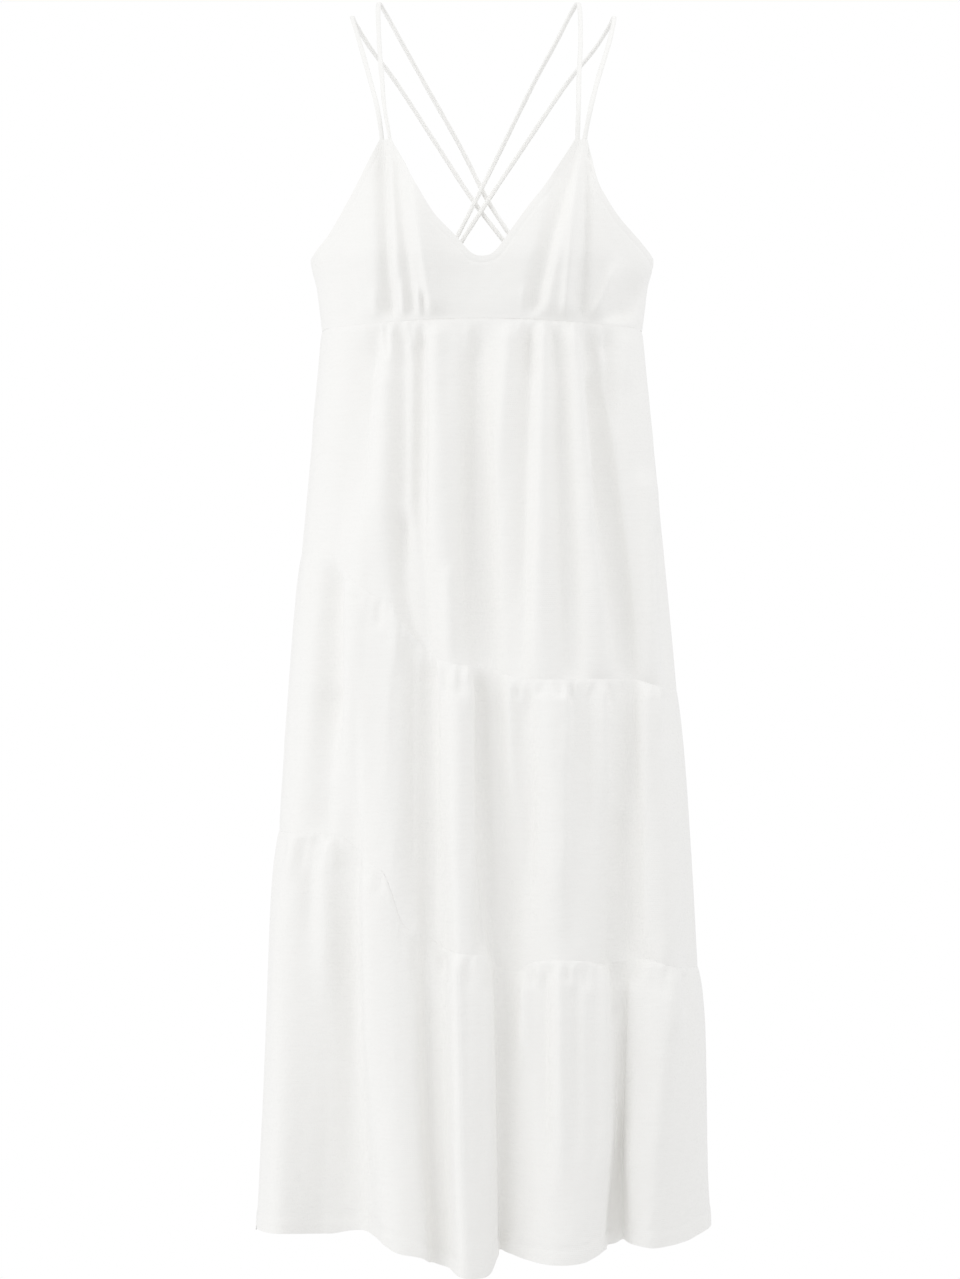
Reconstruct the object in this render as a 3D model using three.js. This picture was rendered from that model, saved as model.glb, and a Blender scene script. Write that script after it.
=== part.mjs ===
// A tiered, strappy midi dress of light cotton gauze, hollow and filled out as it hangs when worn.
// Millimetres, +Z up, the front faces -Y, +X is on the right as the front is seen.
// The origin lies between the two shoulders that hold the straps up.
import * as THREE from "three";

// Driving sizes of the cloth and of the whole garment.
const wall = 1.5; // thickness of the modelled cloth
const seamGap = 0.3; // clearance between two pieces that are sewn together
const sideGap = 0.5; // the same at a side seam, whose inner edges lean together
const underBust = -302; // height of the seam under the cups at the sides
const underBustRise = 4; // how much higher that seam is at the centre front
const riseWidth = 90; // how far to each side of the centre that rise reaches
const backTop = -238; // height of the back's top edge
const backDip = 3; // how much lower that edge is at the centre back
const backDipWidth = 0.5; // how far that dip reaches, as a share of the half width
const cupRelease = 8; // the cups run in to the figure over this height above their seam
const hemHeight = -1138; // the nominal level of the hem
const hipHeight = -610; // the levels at which the fold table below is stated
const calfHeight = -880;
const columnPitch = 17; // spacing of the facets along the hem
const ovalStep = 1e-4; // a small step across the oval, for slopes
const rowStep = 0.01; // a small step between two rows of the fold table, for slopes
const heightStep = 0.5; // a small step up or down, for slopes
const foldFade = 0.5; // a cup fold fades out over this share of its length, at its head
const cloth = { color: 0xf4f3ee, roughness: 0.95, metalness: 0 };

// Level rings of the figure that the bodice follows. Each is an oval with half its width to the
// side and its own depths to the front and to the back.
const ovalPower = 2.3;
const torso = [
  { z: -120, side: 150, front: 100, back: 92 },
  { z: -236, side: 159, front: 114, back: 98 },
  { z: -262, side: 153.5, front: 112, back: 97.6 },
  { z: -302, side: 148.5, front: 108, back: 97 },
];

// The top edge of the front, from the left underarm over the left apex, down the V of the
// neckline and up again, to the right underarm.
const leftArmhole = [
  { x: -158.5, z: -236 },
  { x: -141, z: -219 },
  { x: -119.5, z: -186 },
  { x: -102, z: -152 },
  { x: -93, z: -134 },
];
const neckline = [
  { x: -82.5, z: -134 },
  { x: -56, z: -184 },
  { x: -43, z: -205 },
  { x: -24, z: -225 },
  { x: -10, z: -240 },
  { x: 0, z: -243 },
  { x: 11, z: -239 },
  { x: 27, z: -218 },
  { x: 43, z: -196 },
  { x: 57, z: -178 },
  { x: 84.5, z: -134 },
];
const rightArmhole = [
  { x: 95.5, z: -134 },
  { x: 104, z: -170 },
  { x: 112.5, z: -187 },
  { x: 124, z: -203 },
  { x: 140.5, z: -219.5 },
  { x: 160, z: -236 },
];

// Each cup stands out from the figure's oval by a rounded mound.
const cups = [
  { x: -74, z: -226, width: 46, height: 62, out: 19 },
  { x: 76, z: -226, width: 46, height: 62, out: 19 },
];

// Soft folds of the cups, gathered into the seam below them. Each runs from its foot on the
// seam up to its head, and stands out by the stated amount, or dips where that is negative.
const cupFolds = [
  { footX: -81, footZ: -302, headX: -90, headZ: -125, width: 8, out: -5 },
  { footX: -61, footZ: -302, headX: -77, headZ: -145, width: 7, out: -2.5 },
  { footX: -44, footZ: -302, headX: -68, headZ: -155, width: 9, out: 4 },
  { footX: 46, footZ: -300, headX: 80, headZ: -125, width: 9, out: -4 },
  { footX: 74, footZ: -302, headX: 86, headZ: -170, width: 8, out: 3 },
  { footX: 89, footZ: -302, headX: 96, headZ: -125, width: 8, out: -4 },
  { footX: 101, footZ: -302, headX: 124, headZ: -248, width: 9, out: 5 },
];

// The skirt's crests and troughs, once round from the left side over the front and back again.
// bust is how far to the side each starts on the seam under the cups. The other columns are
// its place [x, y] on the level rings at the hips, the calves and the hem.
const skirtFolds = [
  { name: "left side", bust: -148, hip: [-176.5, 0], calf: [-195.5, 2], hem: [-210.5, 12] },
  { name: "left turn", bust: -140, hip: [-168, -38], calf: [-191, -30], hem: [-205, -24] },
  { name: "left crest", bust: -131, hip: [-156, -58], calf: [-179, -54], hem: [-187, -50] },
  { name: "left hollow", bust: -118, hip: [-134, -74], calf: [-134.5, -67], hem: [-144, -37] },
  { name: "left foot", bust: -106, hip: [-112, -97], calf: [-112, -69], hem: [-109, -41] },
  { name: "first crest, left", bust: -98, hip: [-103, -103], calf: [-102, -101], hem: [-86, -107] },
  { name: "first crest", bust: -86, hip: [-84, -109], calf: [-81, -116], hem: [-74, -119] },
  { name: "first crest, right", bust: -74, hip: [-66, -108], calf: [-59, -114], hem: [-49, -118] },
  { name: "first trough", bust: -58, hip: [-49, -105], calf: [-47.5, -105], hem: [-42, -103] },
  { name: "second crest, left", bust: -50, hip: [-39, -115], calf: [-33.5, -108], hem: [-32.5, -106] },
  { name: "second crest", bust: -40, hip: [-28, -124], calf: [-20, -134], hem: [-15, -152] },
  { name: "second crest, right", bust: -22, hip: [-12, -119], calf: [6, -123], hem: [12, -130] },
  { name: "second trough, left", bust: -12, hip: [-3, -111], calf: [10, -107], hem: [14.5, -107] },
  { name: "second trough", bust: -3, hip: [9, -109], calf: [24, -106], hem: [24, -113.5] },
  { name: "third crest, left", bust: 12, hip: [24, -117], calf: [41, -119], hem: [33.5, -121] },
  { name: "third crest", bust: 46, hip: [56, -129], calf: [66, -134], hem: [62, -141] },
  { name: "third dip", bust: 67, hip: [82, -118], calf: [87, -129.5], hem: [86, -138] },
  { name: "third crest, right", bust: 77, hip: [95, -118], calf: [104, -118], hem: [107, -120] },
  { name: "third trough, left", bust: 91, hip: [117, -101], calf: [113.5, -101], hem: [114, -84] },
  { name: "third trough", bust: 100, hip: [133, -88], calf: [127, -98], hem: [126, -79] },
  { name: "fourth crest, left", bust: 108, hip: [142, -89], calf: [140, -103], hem: [133, -108] },
  { name: "fourth crest", bust: 121, hip: [156, -80], calf: [164, -110], hem: [150, -116] },
  { name: "fourth crest, right", bust: 136, hip: [169, -46], calf: [189, -50], hem: [203, -46] },
  { name: "right side", bust: 146, hip: [179, 2], calf: [199.5, 4], hem: [210.5, 16] },
  { name: "right side behind", bust: 147, hip: [177, 24], calf: [198, 29], hem: [215, 46] },
  { name: "right turn behind", bust: 135, hip: [171, 46], calf: [192, 54], hem: [214, 76] },
  { name: "fifth crest", bust: 112, hip: [141, 90], calf: [158, 108], hem: [176, 128] },
  { name: "fifth trough", bust: 88, hip: [110, 99], calf: [119, 105], hem: [130, 94] },
  { name: "sixth crest", bust: 60, hip: [78, 117], calf: [87, 134], hem: [93, 160] },
  { name: "sixth trough", bust: 34, hip: [44, 113], calf: [48, 112], hem: [54, 102] },
  { name: "seventh crest", bust: 12, hip: [16, 123], calf: [15, 142], hem: [14, 166] },
  { name: "seventh trough", bust: -14, hip: [-16, 117], calf: [-20, 119], hem: [-24, 110] },
  { name: "eighth crest", bust: -42, hip: [-54, 119], calf: [-61, 140], hem: [-68, 164] },
  { name: "eighth trough", bust: -70, hip: [-88, 104], calf: [-98, 105], hem: [-108, 92] },
  { name: "ninth crest", bust: -100, hip: [-128, 90], calf: [-144, 107], hem: [-154, 122] },
  { name: "left turn behind", bust: -134, hip: [-165.5, 48], calf: [-185, 56], hem: [-201, 66] },
  { name: "left side behind", bust: -147, hip: [-174, 24], calf: [-193, 28], hem: [-209, 38] },
];

const sideRows = { left: 0, right: skirtFolds.findIndex((fold) => fold.name === "right side") };

// The slanting seam under the upper skirt, by how far to the side it is at the hips. The back
// of the skirt is hidden, and its seam runs the same way round from side to side.
const frontSlant = [
  { x: -182, z: -506 },
  { x: -160, z: -508 },
  { x: -142, z: -511 },
  { x: -130, z: -521 },
  { x: -118, z: -533 },
  { x: -97, z: -548 },
  { x: -87, z: -550 },
  { x: -79, z: -557 },
  { x: -72, z: -570 },
  { x: -60, z: -585 },
  { x: -49, z: -596 },
  { x: -33, z: -607 },
  { x: -12, z: -610 },
  { x: 7, z: -612 },
  { x: 20, z: -618 },
  { x: 36, z: -622 },
  { x: 135, z: -623 },
  { x: 158, z: -629 },
  { x: 186, z: -636 },
];
const backSlant = [
  { x: -182, z: -506 },
  { x: -120, z: -522 },
  { x: -40, z: -574 },
  { x: 50, z: -614 },
  { x: 186, z: -636 },
];

// The seam below the middle tier is about 259 lower and nearly parallel to it, by how far to
// the side it is at the calves.
const lowerFrontSlant = [
  { x: -201, z: -764 },
  { x: -137, z: -764 },
  { x: -124, z: -767 },
  { x: -108, z: -781 },
  { x: -94, z: -791 },
  { x: -86, z: -798 },
  { x: -79, z: -816 },
  { x: -72, z: -838 },
  { x: -65, z: -847 },
  { x: -56, z: -849 },
  { x: -44, z: -857 },
  { x: -34, z: -864 },
  { x: -20, z: -867 },
  { x: 4, z: -870 },
  { x: 15, z: -881 },
  { x: 30, z: -885 },
  { x: 44, z: -876 },
  { x: 60, z: -873 },
  { x: 92, z: -874 },
  { x: 107, z: -878 },
  { x: 125, z: -877 },
  { x: 145, z: -874 },
  { x: 170, z: -881 },
  { x: 204, z: -892 },
];
const lowerBackSlant = [
  { x: -201, z: -764 },
  { x: -140, z: -780 },
  { x: -50, z: -830 },
  { x: 60, z: -872 },
  { x: 204, z: -892 },
];

// Each tier is fuller than the one above it, so it puffs out a little below its seam.
const puffs = { middle: { out: 2.2, reach: 70 }, lower: { out: 4.2, reach: 60 } };

// The hem dips or rises a little from its nominal level, by how far to the side it is.
const hemDips = [
  { x: -216, z: 5 },
  { x: -186, z: 7 },
  { x: -140, z: 5 },
  { x: -120, z: 8 },
  { x: -104, z: 9 },
  { x: -90, z: 7 },
  { x: -75, z: 1 },
  { x: -54, z: -3 },
  { x: -40, z: -11 },
  { x: -22, z: -14 },
  { x: -5, z: -16 },
  { x: 8, z: -13 },
  { x: 14, z: 2 },
  { x: 24, z: 1 },
  { x: 35, z: -2 },
  { x: 60, z: -5 },
  { x: 90, z: -4 },
  { x: 107, z: 3 },
  { x: 120, z: 4 },
  { x: 129, z: 8 },
  { x: 155, z: 5 },
  { x: 185, z: 6 },
  { x: 203, z: 9 },
  { x: 220, z: 9 },
];

// Four narrow straps. Each starts behind an apex of the front, climbs over the shoulder and
// crosses the back to the far side. apexX and backX are how far to the side it is sewn on, and
// route lists the points between. tuck is how far each end reaches down behind an edge, and
// leave how close to the edge it is when it leaves the wall. It lies flat to the wall over the
// share seated of its length at each end, and to the body from the share free onwards.
const strap = { width: 5, thick: 3, sides: 6, steps: 26, tuck: 11, leave: 2, clear: 0.9 };
const strapTurn = { seated: 0.05, free: 0.2 };
const straps = [
  {
    name: "left_outer",
    apexX: -90.9,
    backX: 44,
    route: [
      [-94.8, -78, -106],
      [-102.3, -60, -76],
      [-113.4, -30, -35],
      [-120.6, -3, -9],
      [-117.5, 22, -12.5],
      [-104.8, 44, -30],
      [-82.5, 66, -57],
      [-40.2, 90, -119],
      [-7.7, 95.5, -168],
      [17.5, 96, -201],
    ],
  },
  {
    name: "left_inner",
    apexX: -85.3,
    backX: 49.8,
    route: [
      [-88.3, -78, -106],
      [-91.3, -60, -76],
      [-95, -30, -32],
      [-95.9, -3, 3.5],
      [-91.5, 20, 1],
      [-76, 42, -24],
      [-56, 64, -57],
      [-19.2, 89, -119],
      [4, 95.5, -164],
      [25, 96, -197],
    ],
  },
  {
    name: "right_inner",
    apexX: 87.2,
    backX: -41.2,
    route: [
      [87.4, -78, -106],
      [88.3, -60, -76],
      [90.8, -30, -32],
      [89.6, -3, 3.5],
      [84.5, 20, 1],
      [70, 42, -24],
      [50.4, 64, -57],
      [18.2, 86.5, -119],
      [-4.5, 91, -164],
      [-23.5, 92, -201],
    ],
  },
  {
    name: "right_outer",
    apexX: 92.8,
    backX: -35.4,
    route: [
      [98.3, -78, -106],
      [105.7, -60, -76],
      [117.6, -30, -35],
      [122.7, -3, -9],
      [119.5, 22, -12.5],
      [106.5, 44, -30],
      [82.3, 66, -57],
      [38.3, 87, -119],
      [5.2, 91, -168],
      [-19.3, 92, -206],
    ],
  },
];

// A smooth curve through rows that are sorted by one column, read at a value of that column.
// It is a cubic whose slope at each row is the mean slope of the two rows beside it.
function through(rows, key, column, at) {
  const last = rows.length - 1;
  let i = 0;
  while (i < last - 1 && (at - rows[i + 1][key]) * (rows[last][key] - rows[0][key]) > 0) {
    i += 1;
  }
  const step = rows[i + 1][key] - rows[i][key];
  const t = THREE.MathUtils.clamp((at - rows[i][key]) / step, 0, 1);
  const slope = (n) => {
    const before = rows[Math.max(n - 1, 0)];
    const after = rows[Math.min(n + 1, last)];
    return (step * (after[column] - before[column])) / (after[key] - before[key]);
  };
  const [p, q, m, n] = [rows[i][column], rows[i + 1][column], slope(i), slope(i + 1)];
  return p + t * (m + t * (3 * (q - p) - 2 * m - n + t * (2 * (p - q) + m + n)));
}

// A rounded hump, 1 at its middle and fading to nothing about twice its width away.
function hump(distance, width) {
  return Math.exp(-((distance / width) ** 2));
}

// A point of the figure's oval. across runs from -1 at the left side to 1 at the right side,
// and facing is -1 on the front and 1 on the back.
function ovalPoint(across, z, facing) {
  const side = through(torso, "z", "side", z);
  const depth = through(torso, "z", facing < 0 ? "front" : "back", z);
  const rest = Math.max(1 - Math.abs(across) ** ovalPower, 0);
  return new THREE.Vector3(across * side, facing * depth * rest ** (1 / ovalPower), z);
}

// How far the front stands out at (x, z), over its oval, with the cups and their folds.
function cupOut(x, z) {
  let out = 0;
  for (const cup of cups) {
    out += cup.out * hump(x - cup.x, cup.width) * hump(z - cup.z, cup.height);
  }
  for (const fold of cupFolds) {
    const along = (z - fold.footZ) / (fold.headZ - fold.footZ);
    const middle = THREE.MathUtils.lerp(fold.footX, fold.headX, along);
    const fade = THREE.MathUtils.smoothstep(1 - along, 0, foldFade);
    out += fold.out * hump(x - middle, fold.width) * fade;
  }
  return out * (1 - hump(Math.max(z - underBustHeight(x), 0), cupRelease));
}

function frontBodicePoint(across, z) {
  const point = ovalPoint(across, z, -1);
  const ease = 1 - Math.abs(across) ** 6;
  point.y -= cupOut(point.x, z) * ease;
  return point;
}

function backBodicePoint(across, z) {
  return ovalPoint(across, z, 1);
}

function underBustHeight(x) {
  return underBust + underBustRise * hump(x, riseWidth);
}

// The closed level ring of the skirt at a height, a curve through every crest and trough.
// Its parameter is the row's number, so that a column of facets keeps to its own fold.
const ringCache = new Map();
function skirtRing(z) {
  if (ringCache.has(z)) {
    return ringCache.get(z);
  }
  const points = skirtFolds.map((fold, row) => {
    const facing = row >= sideRows.left && row <= sideRows.right ? -1 : 1;
    const side = through(torso, "z", "side", underBust);
    const start = ovalPoint(THREE.MathUtils.clamp(fold.bust / side, -1, 1), underBust, facing);
    const levels = [
      { z: underBust, x: start.x, y: start.y },
      { z: hipHeight, x: fold.hip[0], y: fold.hip[1] },
      { z: calfHeight, x: fold.calf[0], y: fold.calf[1] },
      { z: hemHeight, x: fold.hem[0], y: fold.hem[1] },
    ];
    return new THREE.Vector3(through(levels, "z", "x", z), through(levels, "z", "y", z), z);
  });
  const ring = new THREE.CatmullRomCurve3(points, true, "centripetal");
  ringCache.set(z, ring);
  return ring;
}

function ringPoint(row, z) {
  const turn = row / skirtFolds.length;
  return skirtRing(z).getPoint(turn - Math.floor(turn));
}

// The slanting seams and the hem, as heights for one column of the skirt.
function slantHeight(row) {
  const slant = row <= sideRows.right ? frontSlant : backSlant;
  return through(slant, "x", "z", ringPoint(row, hipHeight).x);
}

function lowerSlantHeight(row) {
  const slant = row <= sideRows.right ? lowerFrontSlant : lowerBackSlant;
  return through(slant, "x", "z", ringPoint(row, calfHeight).x);
}

function hemLevel(row) {
  const lifted = row <= sideRows.right ? through(hemDips, "x", "z", ringPoint(row, hemHeight).x) : 0;
  return hemHeight + lifted;
}

// A point of the skirt, pushed outward where a tier puffs out below its seam.
function skirtPoint(row, z) {
  const point = ringPoint(row, z);
  const outward = new THREE.Vector3(point.x, point.y, 0).normalize();
  for (const [puff, top] of [
    [puffs.middle, slantHeight(row)],
    [puffs.lower, lowerSlantHeight(row)],
  ]) {
    const below = Math.max(top - z, 0) / puff.reach;
    point.addScaledVector(outward, puff.out * below * Math.exp(1 - below));
  }
  return point;
}

// The outward normal of a surface at (s, z), from its slopes both ways.
function normalOf(surface, s, z, stepS) {
  const alongS = surface(s + stepS, z).sub(surface(s - stepS, z));
  const alongZ = surface(s, z + heightStep).sub(surface(s, z - heightStep));
  return alongS.cross(alongZ).normalize();
}

// One cloth piece with the wall's thickness. columns lists the values of s from left to right
// as seen from outside, and top and bottom give the heights of its edges in a column. The two
// outer columns are pulled in by half the clearance of a side seam.
function clothPiece({ surface, columns, rows, top, bottom, stepS }) {
  const outer = [];
  const inner = [];
  const last = columns.length - 1;
  columns.forEach((s, column) => {
    const inward = stepS * (column === 0 ? 1 : column === last ? -1 : 0);
    for (let row = 0; row <= rows; row += 1) {
      const z = THREE.MathUtils.lerp(bottom(s), top(s), row / rows);
      const run = surface(s + inward, z).distanceTo(surface(s, z));
      const at = inward === 0 ? s : s + (inward * sideGap) / 2 / run;
      const point = surface(at, z);
      outer.push(point);
      inner.push(point.clone().addScaledVector(normalOf(surface, at, z, stepS), -wall));
    }
  });
  return closedShell(outer, inner, columns.length, rows + 1);
}

// Two grids of points, column by column, joined round their four edges into one closed body.
function closedShell(outer, inner, columns, rows) {
  const points = [...outer, ...inner];
  const out = (column, row) => column * rows + row;
  const ins = (column, row) => outer.length + out(column, row);
  const faces = [];
  const quad = (a, b, c, d) => faces.push(a, b, c, a, c, d);
  for (let c = 0; c < columns - 1; c += 1) {
    for (let r = 0; r < rows - 1; r += 1) {
      quad(out(c, r), out(c + 1, r), out(c + 1, r + 1), out(c, r + 1));
      quad(ins(c, r), ins(c, r + 1), ins(c + 1, r + 1), ins(c + 1, r));
    }
    quad(out(c, 0), ins(c, 0), ins(c + 1, 0), out(c + 1, 0));
    quad(out(c, rows - 1), out(c + 1, rows - 1), ins(c + 1, rows - 1), ins(c, rows - 1));
  }
  for (let r = 0; r < rows - 1; r += 1) {
    quad(out(0, r), out(0, r + 1), ins(0, r + 1), ins(0, r));
    quad(out(columns - 1, r), ins(columns - 1, r), ins(columns - 1, r + 1), out(columns - 1, r + 1));
  }
  const geometry = new THREE.BufferGeometry().setFromPoints(points);
  geometry.setIndex(faces);
  geometry.computeVertexNormals();
  return geometry;
}

function named(name, geometry) {
  const mesh = new THREE.Mesh(geometry, new THREE.MeshStandardMaterial(cloth));
  mesh.name = name;
  return mesh;
}

// Values from one end to the other in equal steps of the oval's angle, ends included.
function ovalSteps(from, to, count) {
  const angle = (across) => Math.sign(across) * Math.asin(Math.abs(across) ** (ovalPower / 2));
  return Array.from({ length: count + 1 }, (unused, i) => {
    const at = THREE.MathUtils.lerp(angle(from), angle(to), i / count);
    return Math.sign(at) * Math.abs(Math.sin(at)) ** (2 / ovalPower);
  });
}

// How far across the oval an edge point lies.
function acrossOf({ x, z }) {
  return x / through(torso, "z", "side", z);
}

function frontBodice() {
  const edges = [leftArmhole, neckline, rightArmhole].map((edge) =>
    edge.map((row) => ({ across: acrossOf(row), z: row.z })),
  );
  edges[0][0].across = -1;
  edges[2].at(-1).across = 1;
  const breaks = [-1, edges[1][0].across, edges[1].at(-1).across, 1];
  const top = (across) => {
    const edge = across < edges[0].at(-1).across ? 0 : across > edges[2][0].across ? 2 : 1;
    return through(edges[edge], "across", "z", across);
  };
  const columns = [
    ...ovalSteps(breaks[0], edges[0].at(-1).across, 11),
    ...ovalSteps(breaks[1], 0, 10),
    ...ovalSteps(0, breaks[2], 10).slice(1),
    ...ovalSteps(edges[2][0].across, breaks[3], 11),
  ];
  const bottom = (across) => underBustHeight(across * torso.at(-1).side) + seamGap / 2;
  return clothPiece({ surface: frontBodicePoint, columns, rows: 7, top, bottom, stepS: ovalStep });
}

function backBodice() {
  const columns = ovalSteps(1, -1, 24);
  const top = (across) => backTop - backDip * hump(across, backDipWidth);
  const bottom = () => underBust + seamGap / 2;
  return clothPiece({ surface: backBodicePoint, columns, rows: 2, top, bottom, stepS: -ovalStep });
}

// The skirt's columns between two rows of the fold table, closer together where the hem is
// deeply folded.
function skirtColumns(from, to) {
  const columns = [];
  for (let row = from; row < to; row += 1) {
    const length = ringPoint(row, hemHeight).distanceTo(ringPoint(row + 1, hemHeight));
    const count = Math.max(Math.round(length / columnPitch), 1);
    for (let i = 0; i < count; i += 1) {
      columns.push(row + i / count);
    }
  }
  return [...columns, to];
}

function skirtPanel(columns, rows, topSeam, bottomSeam, isHem) {
  // An edge keeps half the clearance from its seam, measured square to the seam.
  const clearance = (seam, s) => {
    const run = ringPoint(s + rowStep, hipHeight).distanceTo(ringPoint(s - rowStep, hipHeight));
    return (seamGap / 2) * Math.hypot(1, (seam(s + rowStep) - seam(s - rowStep)) / run);
  };
  const top = (s) => topSeam(s) - clearance(topSeam, s);
  const bottom = (s) => bottomSeam(s) + (isHem ? 0 : clearance(bottomSeam, s));
  return clothPiece({ surface: skirtPoint, columns, rows, top, bottom, stepS: rowStep });
}

function skirtMeshes() {
  const front = skirtColumns(sideRows.left, sideRows.right);
  const back = skirtColumns(sideRows.right, skirtFolds.length);
  const seams = [
    { name: "upper_skirt", top: skirtTop, bottom: slantHeight, rows: [5, 4] },
    { name: "middle_tier", top: slantHeight, bottom: lowerSlantHeight, rows: [3, 3] },
    { name: "lower_tier", top: lowerSlantHeight, bottom: hemLevel, rows: [5, 4] },
  ];
  return seams.flatMap(({ name, top, bottom, rows }) => {
    const isHem = name === "lower_tier";
    return [
      named(`${name}_front`, skirtPanel(front, rows[0], top, bottom, isHem)),
      named(`${name}_back`, skirtPanel(back, rows[1], top, bottom, isHem)),
    ];
  });
}

function skirtTop(row) {
  return row <= sideRows.right ? underBustHeight(ringPoint(row, underBust).x) : underBust;
}

// A seat for a strap's end: a point just inside the wall of the bodice at (across, z).
function seatPoint(surface, across, z, stepS) {
  const depth = wall + strap.clear + strap.thick / 2;
  return surface(across, z).addScaledVector(normalOf(surface, across, z, stepS), -depth);
}

// A strap is an oval swept along its route. Its flat side lies to the body, and at its two ends
// it turns to lie along the wall that it is sewn to.
function strapGeometry({ apexX, backX, route }) {
  const apexZ = leftArmhole.at(-1).z;
  const apex = apexX / through(torso, "z", "side", apexZ);
  const end = backX / through(torso, "z", "side", backTop);
  const frontNormal = normalOf(frontBodicePoint, apex, apexZ - strap.tuck / 2, ovalStep);
  const backNormal = normalOf(backBodicePoint, end, backTop - strap.tuck / 2, -ovalStep);
  const points = [
    seatPoint(frontBodicePoint, apex, apexZ - strap.tuck, ovalStep),
    seatPoint(frontBodicePoint, apex, apexZ - strap.leave, ovalStep),
    ...route.map((point) => new THREE.Vector3(...point)),
    seatPoint(backBodicePoint, end, backTop + 2 * strap.leave, -ovalStep),
    seatPoint(backBodicePoint, end, backTop - strap.tuck, -ovalStep),
  ];
  const curve = new THREE.CatmullRomCurve3(points, false, "centripetal");
  const rings = [];
  for (let i = 0; i <= strap.steps; i += 1) {
    const along = i / strap.steps;
    const centre = curve.getPointAt(along);
    const tangent = curve.getTangentAt(along);
    const outward = new THREE.Vector3(0, centre.y, centre.z - backTop).normalize();
    outward.lerp(frontNormal, 1 - THREE.MathUtils.smoothstep(along, strapTurn.seated, strapTurn.free));
    outward.lerp(backNormal, THREE.MathUtils.smoothstep(along, 1 - strapTurn.free, 1 - strapTurn.seated));
    const across = new THREE.Vector3().crossVectors(tangent, outward).normalize();
    const lift = new THREE.Vector3().crossVectors(across, tangent).normalize();
    for (let side = 0; side < strap.sides; side += 1) {
      const angle = (2 * Math.PI * side) / strap.sides;
      const point = centre.clone().addScaledVector(across, (strap.width / 2) * Math.cos(angle));
      rings.push(point.addScaledVector(lift, (strap.thick / 2) * Math.sin(angle)));
    }
  }
  return closedTube(rings, strap.sides);
}

// Rings of points joined into a tube, with a fan over each end.
function closedTube(rings, sides) {
  const faces = [];
  const count = rings.length / sides;
  for (let ring = 0; ring < count - 1; ring += 1) {
    for (let side = 0; side < sides; side += 1) {
      const [a, b] = [ring * sides + side, ring * sides + ((side + 1) % sides)];
      faces.push(a, b + sides, b, a, a + sides, b + sides);
    }
  }
  const end = (count - 1) * sides;
  for (let side = 1; side < sides - 1; side += 1) {
    faces.push(0, side, side + 1);
    faces.push(end, end + side + 1, end + side);
  }
  const geometry = new THREE.BufferGeometry().setFromPoints(rings);
  geometry.setIndex(faces);
  geometry.computeVertexNormals();
  return geometry;
}

const dress = new THREE.Group();
dress.add(named("front_bodice", frontBodice()));
dress.add(named("back_bodice", backBodice()));
dress.add(...skirtMeshes());
for (const row of straps) {
  dress.add(named(`strap_${row.name}`, strapGeometry(row)));
}

export default dress;
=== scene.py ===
import math
import bpy
import numpy as np
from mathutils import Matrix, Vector


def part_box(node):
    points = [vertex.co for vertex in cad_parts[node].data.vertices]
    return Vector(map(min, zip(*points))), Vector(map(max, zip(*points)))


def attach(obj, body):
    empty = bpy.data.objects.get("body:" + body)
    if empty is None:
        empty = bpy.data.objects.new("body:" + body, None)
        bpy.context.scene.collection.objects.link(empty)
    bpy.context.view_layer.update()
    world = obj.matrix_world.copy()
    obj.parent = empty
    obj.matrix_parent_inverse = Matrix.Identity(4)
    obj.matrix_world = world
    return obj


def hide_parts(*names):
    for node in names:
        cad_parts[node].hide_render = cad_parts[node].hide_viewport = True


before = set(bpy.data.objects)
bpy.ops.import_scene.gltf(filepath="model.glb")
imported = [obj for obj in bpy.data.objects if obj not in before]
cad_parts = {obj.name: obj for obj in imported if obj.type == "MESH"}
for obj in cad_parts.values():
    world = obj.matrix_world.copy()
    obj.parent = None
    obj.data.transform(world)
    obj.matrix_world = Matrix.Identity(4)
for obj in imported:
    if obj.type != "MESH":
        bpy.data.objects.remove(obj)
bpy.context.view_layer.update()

mm = 0.001
scene = bpy.context.scene

camera = {"distance": 3.2, "height": -0.587, "aside": -0.0019, "lens": 96.85, "sensor": 36.0}


def placeCamera():
    data = bpy.data.cameras.new("camera")
    data.lens = camera["lens"]
    data.sensor_width = camera["sensor"]
    data.clip_end = 50
    seen = bpy.data.objects.new("camera", data)
    seen.location = (camera["aside"], -camera["distance"], camera["height"])
    seen.rotation_euler = (math.radians(90), 0, 0)
    scene.collection.objects.link(seen)
    scene.camera = seen


placeCamera()
print("camera placed")


def through(keys, values, at):
    # a cubic through rows sorted by key; its slope at a row is the mean slope of its two neighbours
    keys = np.asarray(keys, float)
    values = np.asarray(values, float)
    if keys[0] > keys[-1]:
        keys, values = keys[::-1], values[::-1]
    slopes = np.gradient(values, axis=0)
    slopes[1:-1] = (values[2:] - values[:-2]) / (keys[2:] - keys[:-2])
    slopes[0] = (values[1] - values[0]) / (keys[1] - keys[0])
    slopes[-1] = (values[-1] - values[-2]) / (keys[-1] - keys[-2])
    at = np.clip(at, keys[0], keys[-1])
    i = np.clip(np.searchsorted(keys, at, side="right") - 1, 0, len(keys) - 2)
    step = keys[i + 1] - keys[i]
    return hermite(values[i], values[i + 1], slopes[i] * step, slopes[i + 1] * step, (at - keys[i]) / step)


def hermite(p, q, m, n, t):
    return p + t * (m + t * (3 * (q - p) - 2 * m - n + t * (2 * (p - q) + m + n)))


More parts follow.
